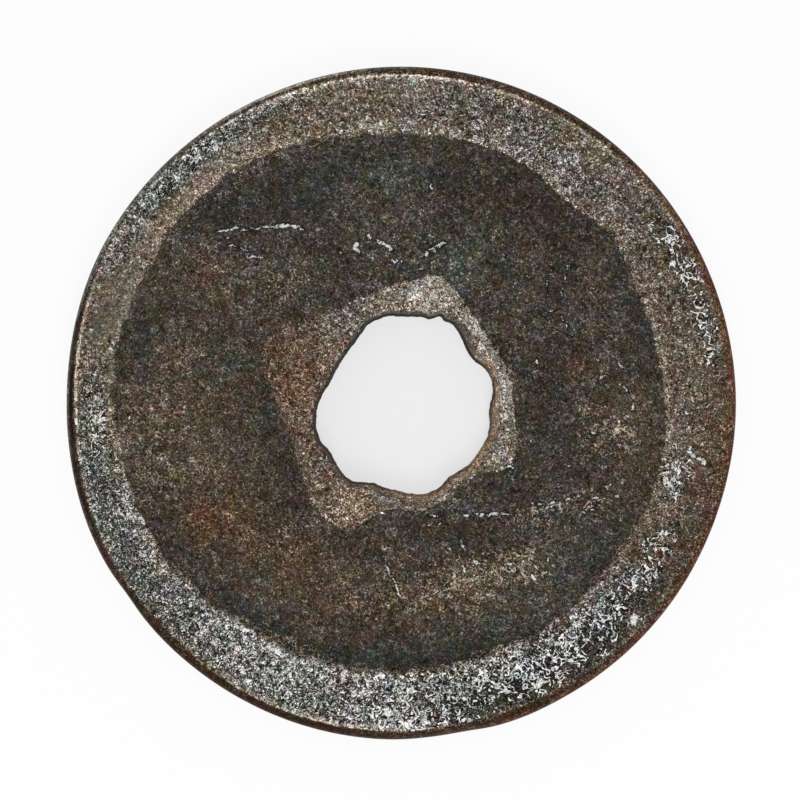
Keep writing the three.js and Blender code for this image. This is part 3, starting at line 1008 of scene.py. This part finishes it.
def mixed_number(amount, below, above):
    node = tree.nodes.new("ShaderNodeMix")
    put(node.inputs[0], amount)
    put(node.inputs[2], below)
    put(node.inputs[3], above)
    return node.outputs[0]


print(bronze.name, "is started")

# %% [markdown]
# First come the masks of what is raised and what is a side. On the real coin the finishes
# meet in ragged lines, so a noise is added to each mask before it is sharpened.

# %% The worn bronze: masks
ragged_size, mask_starts, mask_full = 0.2 * mm, 0.3, 0.7
ragged = noise_node(tree, place, 1 / ragged_size, detail=3.0, roughness=0.7)
ragged = math_node(tree, "SUBTRACT", ragged, 0.5)


def ragged_mask(name, amount):
    """A painted mask with its soft border made ragged."""
    value = math_node(tree, "MULTIPLY_ADD", ragged, amount, painted(name))
    return ramp(tree, value, mask_starts, mask_full)


relief = ragged_mask("relief", amount=1.8)
side = ragged_mask("side", amount=1.2)
print(len(tree.nodes), "nodes for the masks")

# %% [markdown]
# The three coats are laid over each other by these masks. Fine curls and coarse flakes of bare
# metal lie on them, with a dark hollow beside each. The crests are lightened, for rubbed metal
# and a painted highlight, and the hole's rim is darkened with painted shade.

# %% The worn bronze: coats
tone = mixed(relief, painted("field_colour", "Vector"), painted("raised_colour", "Vector"))
tone = mixed(side, tone, painted("side_colour", "Vector"))
strength = mixed_number(relief, painted("field_speckle"), painted("raised_speckle"))
strength = mixed_number(side, strength, painted("side_speckle"))

not_side = math_node(tree, "SUBTRACT", 1.0, side)
metal = mixed(relief, (0.60, 0.53, 0.46), (0.78, 0.78, 0.76))
white_metal = mixed(relief, (0.66, 0.60, 0.52), (0.94, 0.94, 0.92))
deep = mixed_number(relief, -0.25, -0.65)
metal_cover, metal_calm = 0.9, -0.35  # the speckle is weaker on bare metal
for name, size, widest, shade_beside, colour in (
    ("bare", 0.19 * mm, mixed_number(relief, 0.045, 0.08), -0.35, metal),
    ("flakes", 0.3 * mm, 0.05, deep, white_metal),
):
    node = effect(curls_group, Size=size, Coverage=painted(name), Widest=widest)
    worn = times(node.outputs["Mask"], not_side)
    hollow = times(node.outputs["Hollow"], not_side)
    tone = scaled(tree, tone, math_node(tree, "MULTIPLY_ADD", hollow, shade_beside, 1.0))
    tone = mixed(times(worn, metal_cover), tone, colour)
    strength = times(strength, math_node(tree, "MULTIPLY_ADD", worn, metal_calm, 1.0))

# the crests get rubbed metal and a painted highlight, the hole's rim a painted shade
crest_rub_and_highlight_lift, arris_rub_and_highlight_lift, hole_shade_lift = 0.35, 0.75, -0.66
lift = math_node(tree, "MULTIPLY_ADD", times(painted("crest"), relief), crest_rub_and_highlight_lift, 1.0)
lift = math_node(tree, "MULTIPLY_ADD", painted("arris"), arris_rub_and_highlight_lift, lift)
lift = math_node(tree, "MULTIPLY_ADD", painted("hole_shade"), hole_shade_lift, lift)
tone = scaled(tree, tone, lift)
print(len(tree.nodes), "nodes with the coats")

# %% [markdown]
# The speckle works on the coats as strongly as they say. Its bright side is stretched, because
# the brightest specks stand out more than the darkest ones. It is scaled by how bright the
# tone is, and a faint mottle of tints goes with it.

# %% The worn bronze: speckle
grey = (0.3, 0.59, 0.11)  # how much each channel weighs in a tone's brightness
skew_mean, deepest_shade = 0.035, 0.72
speckle = effect(
    speckle_group, Grain=0.12 * mm, Clusters=0.4 * mm, Clouds=1.6 * mm,
    Fine=mixed_number(relief, 1.0, 1.5),
).outputs["Value"]
shade = times(speckle, strength)
bright = math_node(tree, "MAXIMUM", shade, 0.0)
skew = mixed_number(relief, 2.0, 1.4)
bright = math_node(tree, "MULTIPLY_ADD", times(bright, bright), skew, -skew_mean)
shade = math_node(tree, "ADD", shade, bright)
shade = math_node(tree, "MAXIMUM", shade, -deepest_shade)
shade = times(shade, vector_node(tree, "DOT_PRODUCT", tone, grey))
middle_grey = (0.5, 0.5, 0.5)
tint_size, tint_strength = 0.6 * mm, (0.15, 0.05, 0.15)
tint = noise_node(tree, place, 1 / tint_size, 2.0, 0.6, 0.3, output="Color")
tint = vector_node(tree, "SUBTRACT", tint, middle_grey)
tint = vector_node(tree, "MULTIPLY", tint, tint_strength)
tone = vector_node(tree, "ADD", tone, tint)
tone = vector_node(tree, "ADD", tone, scaled(tree, (1, 1, 1), shade))
print(len(tree.nodes), "nodes with the speckle")

# %% [markdown]
# Scratches cut through the patina to the metal. A long one is drawn as a few short ones that
# meet, because it bends and its strength changes on the way. The nicks in the rim are short
# and wide.

# %% Scratches and nicks
scratches = [
    # from x, y, to x, y, half width, strength
    (-6.80, 6.33, -6.35, 6.40, 0.05, 0.9), (-6.38, 6.38, -5.98, 6.52, 0.05, 0.9),
    (-5.95, 6.36, -5.60, 6.42, 0.05, 0.8), (-5.62, 6.45, -5.12, 6.48, 0.05, 0.8),
    (-5.18, 6.56, -4.82, 6.55, 0.06, 0.9), (-4.86, 6.50, -4.46, 6.50, 0.05, 0.8),
    (-4.50, 6.57, -4.00, 6.57, 0.07, 1.), (-4.08, 6.56, -3.72, 6.50, 0.06, 1.),
    (-3.74, 6.50, -3.62, 6.40, 0.05, 0.9), (-6.40, 5.81, -6.10, 5.80, 0.04, 0.7),
    (-6.10, 5.80, -5.55, 5.58, 0.04, 0.5), (-5.68, 5.38, -5.35, 5.42, 0.05, 1.),
    (-5.36, 5.41, -5.00, 5.39, 0.04, 0.5), (-6.55, 6.12, -6.30, 6.12, 0.04, 0.4),
    (-2.35, 5.66, -2.12, 5.52, 0.04, 0.6), (-1.62, 5.95, -1.72, 5.76, 0.07, 1.),
    (-1.72, 5.80, -1.52, 5.50, 0.07, 1.), (-1.95, 5.60, -1.75, 5.55, 0.04, 0.5),
    (-1.30, 6.20, -1.15, 6.20, 0.04, 0.7), (-1.20, 6.24, -1.08, 6.10, 0.06, 1.),
    (-0.90, 6.02, -0.60, 5.87, 0.05, 1.), (-0.62, 5.88, -0.33, 5.68, 0.06, 1.),
    (-0.44, 5.66, -0.32, 5.74, 0.07, 1.), (-0.35, 5.32, -0.20, 5.18, 0.04, 0.7),
    (-0.20, 5.27, -0.11, 5.27, 0.05, 0.8), (-0.04, 5.22, 0.05, 5.24, 0.05, 0.8),
    (0.93, 5.44, 1.02, 5.62, 0.08, 1.), (1.04, 5.68, 1.26, 5.76, 0.06, 1.),
    (1.26, 5.76, 1.66, 5.95, 0.07, 1.), (1.13, 5.60, 1.30, 5.62, 0.08, 0.7),
    (1.00, 6.22, 1.28, 6.13, 0.04, 0.7), (1.08, 5.08, 1.26, 5.31, 0.04, 0.6),
    (0.68, 4.98, 0.88, 4.89, 0.05, 0.6), (1.10, 8.15, 1.10, 7.87, 0.04, 1.),
    (0.42, 7.33, 0.36, 7.19, 0.05, 0.6), (0.74, 7.19, 0.88, 7.11, 0.05, 0.6),
    (5.65, 5.05, 5.48, 4.72, 0.04, 0.35), (5.40, 4.65, 5.42, 4.15, 0.04, 0.4),
    (5.43, 4.20, 5.38, 3.80, 0.04, 0.35), (6.20, 5.25, 6.14, 4.75, 0.04, 0.35),
    (6.15, 4.80, 6.00, 4.40, 0.04, 0.4), (6.02, 4.45, 5.86, 3.80, 0.04, 0.4),
    (5.18, 3.30, 5.78, 3.46, 0.04, 0.35), (5.20, 3.35, 5.46, 3.12, 0.04, 0.35),
    (5.92, 3.28, 6.04, 2.98, 0.04, 0.5), (6.03, 3.00, 6.21, 2.68, 0.04, 0.4),
    (6.24, 2.50, 6.33, 2.22, 0.04, 0.35), (5.05, 1.63, 5.03, 1.33, 0.04, 0.7),
    (4.74, 1.08, 5.24, 1.30, 0.04, 0.6), (4.90, 1.10, 4.97, 0.88, 0.04, 0.35),
    (5.30, 1.50, 5.43, 1.18, 0.03, 0.35), (5.62, 0.82, 5.82, 0.68, 0.04, 0.4),
    (3.55, 5.35, 3.90, 5.12, 0.04, 0.35), (4.10, 4.28, 4.36, 4.60, 0.04, 0.35),
    (4.60, 4.75, 4.82, 4.60, 0.05, 0.35), (3.88, 2.26, 3.98, 2.12, 0.05, 0.5),
    (7.30, 0.92, 7.62, 1.00, 0.05, 0.6), (7.90, 1.60, 8.38, 1.14, 0.04, 0.5),
    (8.24, 0.62, 8.42, 0.36, 0.05, 0.7), (8.60, 0.02, 8.56, -0.27, 0.05, 0.7),
    (7.22, 1.55, 7.36, 1.56, 0.06, 0.6), (8.05, 0.75, 8.18, 0.68, 0.06, 0.6),
    (7.00, -1.12, 7.27, -1.09, 0.05, 0.6), (6.78, -1.33, 6.88, -1.27, 0.07, 0.8),
    (4.74, -1.45, 4.82, -1.41, 0.06, 0.6), (3.84, -2.33, 4.12, -2.41, 0.05, 0.7),
    (4.16, -2.14, 4.26, -2.20, 0.05, 0.6), (6.16, -2.36, 6.28, -2.27, 0.06, 0.6),
    (7.53, -3.03, 7.71, -3.22, 0.06, 0.8), (7.76, -2.98, 7.64, -3.12, 0.04, 0.7),
    (6.84, -2.50, 6.93, -3.10, 0.04, 0.35), (6.38, -3.46, 6.62, -3.40, 0.06, 0.7),
    (6.08, -3.62, 6.26, -3.50, 0.06, 0.6), (5.70, -3.08, 5.92, -3.16, 0.04, 0.4),
    (5.03, -3.68, 5.22, -3.78, 0.06, 0.7), (4.78, -3.70, 4.96, -3.70, 0.05, 0.5),
    (5.30, -3.92, 5.50, -3.78, 0.05, 0.8), (5.42, -3.72, 5.78, -3.66, 0.05, 0.7),
    (5.50, -3.88, 5.68, -3.80, 0.05, 0.8), (4.94, -3.93, 5.16, -4.12, 0.05, 0.6),
    (7.00, -3.50, 7.32, -3.50, 0.05, 0.7), (6.98, -3.96, 7.28, -3.94, 0.04, 0.7),
    (6.68, -4.00, 6.82, -4.12, 0.04, 0.7), (7.94, -3.38, 8.06, -3.52, 0.06, 0.6),
    (2.30, -4.15, 2.50, -4.15, 0.06, 1.), (2.70, -4.10, 2.88, -4.10, 0.05, 0.9),
    (2.92, -4.16, 3.12, -4.10, 0.05, 0.8), (3.18, -4.12, 3.58, -4.12, 0.05, 0.9),
    (3.66, -4.12, 4.07, -4.12, 0.05, 0.8), (1.00, -4.18, 1.42, -4.18, 0.04, 0.8),
    (1.02, -4.50, 1.10, -4.48, 0.05, 0.8), (1.40, -4.46, 1.50, -4.46, 0.04, 0.6),
    (-0.62, -5.88, -0.28, -6.55, 0.05, 0.6), (-0.30, -6.50, 0.02, -7.28, 0.05, 0.7),
    (2.20, -5.05, 2.40, -5.55, 0.06, 0.6), (2.28, -6.02, 2.40, -6.32, 0.05, 0.8),
    (2.68, -5.80, 2.94, -5.98, 0.06, 0.7), (1.70, -5.38, 1.92, -5.48, 0.05, 0.6),
    (4.52, -5.45, 5.02, -5.46, 0.04, 0.6), (4.38, -6.18, 4.70, -6.52, 0.05, 0.6),
    (10.72, -1.63, 10.58, -1.74, 0.05, 1.2), (10.58, -1.74, 10.68, -1.91, 0.05, 1.2),
    (10.68, -1.91, 10.90, -2.03, 0.05, 1.2), (10.90, -2.03, 11.12, -2.13, 0.05, 1.2),
    (11.10, -2.10, 11.28, -2.26, 0.08, 1.2), (8.46, -8.08, 8.68, -8.12, 0.14, 1.2),
    (8.52, -7.96, 8.76, -7.98, 0.13, 1.2), (8.88, -7.88, 8.92, -8.10, 0.05, 0.8),
    (-10.72, 2.35, -10.55, 2.10, 0.09, 0.9), (-10.80, 2.02, -10.62, 1.95, 0.05, 0.8),
    (-10.08, -0.55, -10.02, -0.57, 0.09, 1.),
    (4.84, -6.30, 4.95, -6.62, 0.06, 0.8), (4.90, -6.00, 5.10, -6.28, 0.05, 0.6),
    (3.84, -5.95, 4.34, -5.90, 0.06, 0.6), (5.40, -5.74, 5.45, -5.92, 0.05, 0.8),
]
print(len(scratches), "scratches")

# %% [markdown]
# Each scratch is bright in its middle and has a dark border around it, partly a burr and partly
# painted shade along the groove. A noise moves the place where it is read, so that its sides
# are jagged. All of them are joined by taking the largest value, and only then turned into the
# two masks.

# %% The worn bronze: scratches
jag = 0.2 * mm
jagged = noise_node(tree, place, 1 / jag, 1.0, 0.6, output="Color")
jagged = vector_node(tree, "SUBTRACT", jagged, middle_grey)
jagged = vector_node(tree, "MULTIPLY_ADD", jagged, (jag, jag, 0.0), place)
longer, wider = 1.3, 1.25  # an oval fades towards its ends and sides
marked = -1.0
for x0, y0, x1, y1, half_width, sharpness in scratches:
    run = Vector((x1 - x0, y1 - y0, 0)) * mm
    half_length = run.length / 2 * longer
    along = run.normalized()
    value = effect(
        scratch_group,
        Place=jagged,
        Middle=((x0 + x1) / 2 * mm, (y0 + y1) / 2 * mm, 0),
        Along=along / half_length,
        Across=Vector((-along.y, along.x, 0)) / (half_width * wider * mm),
    ).outputs["Value"]
    value = math_node(tree, "MULTIPLY_ADD", value, 0.5, sharpness * 0.5)
    marked = math_node(tree, "MAXIMUM", marked, value)
on_top = ramp(tree, height, thickness * 0.6, thickness * 0.7)
speckle_share, burr_and_shade_starts, scratch_starts, scratch_full = 0.32, -0.2, 0.5, 0.95
broken = math_node(tree, "MULTIPLY_ADD", speckle, speckle_share, marked)
# the dark border of each scratch is partly a burr and partly painted shade
burr_and_shade = times(ramp(tree, broken, burr_and_shade_starts, scratch_starts), on_top)
scratch = times(ramp(tree, broken, scratch_starts, scratch_full), on_top)
burr_and_shade_lift, scratch_metal = -0.4, (0.84, 0.84, 0.83)
tone = scaled(tree, tone, math_node(tree, "MULTIPLY_ADD", burr_and_shade, burr_and_shade_lift, 1.0))
tone = mixed(scratch, tone, scratch_metal)
print(len(tree.nodes), "nodes with the scratches")

# %% [markdown]
# Rubbed metal shines a little more than the patina, and the grains stand up from the ground.
# The filed edge carries fine lines along it. A bump node lets a low light catch both.

# %% Gloss and grain
lightest, darkest, gamma = 0.95, 0.03, 2.2
dull_tone, shiny_tone, most_metallic, rough, smooth = 0.35, 0.75, 0.6, 0.72, 0.42
tone = vector_node(tree, "MINIMUM", tone, (lightest,) * 3)
tone = vector_node(tree, "MAXIMUM", tone, (darkest,) * 3)
to_light = tree.nodes.new("ShaderNodeGamma")
to_light.inputs["Gamma"].default_value = gamma
put(to_light.inputs["Color"], tone)
put(shader.inputs["Base Color"], to_light.outputs["Color"])
shine = ramp(tree, vector_node(tree, "DOT_PRODUCT", tone, grey), dull_tone, shiny_tone)
put(shader.inputs["Metallic"], times(shine, most_metallic))
put(shader.inputs["Roughness"], ramp(tree, shine, 0.0, 1.0, rough, smooth))
shader.inputs["Specular IOR Level"].default_value = 0.1

file_line, along_edge = 0.03 * mm, (0.1, 0.1, 1.0)  # ten times as long as high
stretched = vector_node(tree, "MULTIPLY", place, along_edge)
file_lines = noise_node(tree, stretched, 1 / file_line, detail=1.0)
grain_height = math_node(tree, "MULTIPLY_ADD", speckle, 0.5, 0.5)  # around a middle height
grain_height = mixed_number(side, grain_height, file_lines)
bump = tree.nodes.new("ShaderNodeBump")
bump.inputs["Strength"].default_value = 0.4
bump.inputs["Distance"].default_value = 0.02 * mm
put(bump.inputs["Height"], grain_height)
put(shader.inputs["Normal"], bump.outputs["Normal"])
coin.data.materials.append(bronze)
print(len(tree.nodes), "nodes in the bronze")

# %% [markdown]
# The dressed coin stands for the CAD casting and moves with it.

# %% The coin takes its place
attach(coin, "root")
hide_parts("cast_coin")
print(coin.name, "stands for the casting")

# %% [markdown]
# The coin lies on a white sheet. The sheet is mostly its own white for the camera, so the
# background is clean, but it keeps a soft shadow around the coin. Reflections see it white
# too. Through the hole it is more of a plain paper, so the coin's shadow shows there, and the
# sheet's own white is dimmed towards the middle as painted shade.

# %% The sheet
sheet_size, sheet_drop = 1200 * mm, 0.01 * mm
deselect_all()
bpy.ops.mesh.primitive_plane_add(size=sheet_size, location=(0, 0, -sheet_drop))
sheet = bpy.context.object
sheet.name = "white_sheet"
paper = bpy.data.materials.new("white_paper")
paper.use_nodes = True
paper_tree = paper.node_tree
nodes = paper_tree.nodes
nodes.clear()
diffuse = nodes.new("ShaderNodeBsdfDiffuse")
diffuse.inputs["Color"].default_value = (0.9, 0.9, 0.9, 1)
glow = nodes.new("ShaderNodeEmission")
ray = nodes.new("ShaderNodeLightPath")
paper_place = nodes.new("ShaderNodeTexCoord").outputs["Object"]
paper_radius = vector_node(paper_tree, "LENGTH", paper_place)
shaded, open_paper = 5 * mm, 10 * mm  # how far from the middle the paper is in full shade
open_share = ramp(paper_tree, paper_radius, shaded, open_paper, 0.75, 0.9)
# the sheet's own white is dimmed towards the middle: painted shade under the coin
glow_with_painted_shade = ramp(paper_tree, paper_radius, shaded, open_paper, 0.865, 1.0)
put(glow.inputs["Strength"], glow_with_painted_shade)
seen = ray.outputs["Is Camera Ray"]
for kind in ("Is Glossy Ray", "Is Transmission Ray"):
    seen = math_node(paper_tree, "MAXIMUM", seen, ray.outputs[kind])
glow_share = math_node(paper_tree, "MULTIPLY", seen, open_share)
blend_of = nodes.new("ShaderNodeMixShader")
put(blend_of.inputs[0], glow_share)
put(blend_of.inputs[1], diffuse.outputs[0])
put(blend_of.inputs[2], glow.outputs[0])
output = nodes.new("ShaderNodeOutputMaterial")
put(output.inputs["Surface"], blend_of.outputs[0])
sheet.data.materials.append(paper)
print(sheet.name, "is", round(sheet.dimensions.x, 3), "m wide")

# %% [markdown]
# A scanner's light is even, so most of it comes from a white room. One soft lamp below the
# picture's lower edge gives the relief its lit and shaded sides.

# %% The light
world = bpy.data.worlds.new("soft_room")
bpy.context.scene.world = world
world.use_nodes = True
background = world.node_tree.nodes["Background"]
background.inputs["Color"].default_value = (1, 1, 1, 1)
background.inputs["Strength"].default_value = 0.75

lamp_place = Vector((0.02, -0.11, 0.16))
bpy.ops.object.light_add(type="AREA", location=lamp_place)
lamp = bpy.context.object
lamp.name = "soft_lamp"
lamp.data.shape = "DISK"
lamp.data.size = 0.08
lamp.data.energy = 0.12
aim = -lamp_place
lamp.rotation_euler = aim.to_track_quat("-Z", "Y").to_euler()
print("the lamp is", round(aim.length, 3), "m away")

# %% [markdown]
# The camera looks straight down through a long lens, as a scanner does. The coin lies a
# little off the middle of the picture.

# %% The camera
frame_width = 29.66 * mm
view_x, view_y = -0.037 * mm, 0.112 * mm
lens, sensor = 200, 36
bpy.ops.object.camera_add()
camera = bpy.context.object
camera.data.lens = lens
camera.data.sensor_width = sensor
camera.data.clip_start = 0.01
camera.location = (view_x, view_y, frame_width * lens / sensor + thickness / 2)
camera.rotation_euler = (0, 0, 0)
bpy.context.scene.camera = camera
bpy.context.scene.view_settings.view_transform = "Standard"
print("the camera is", round(camera.location.z, 3), "m up")
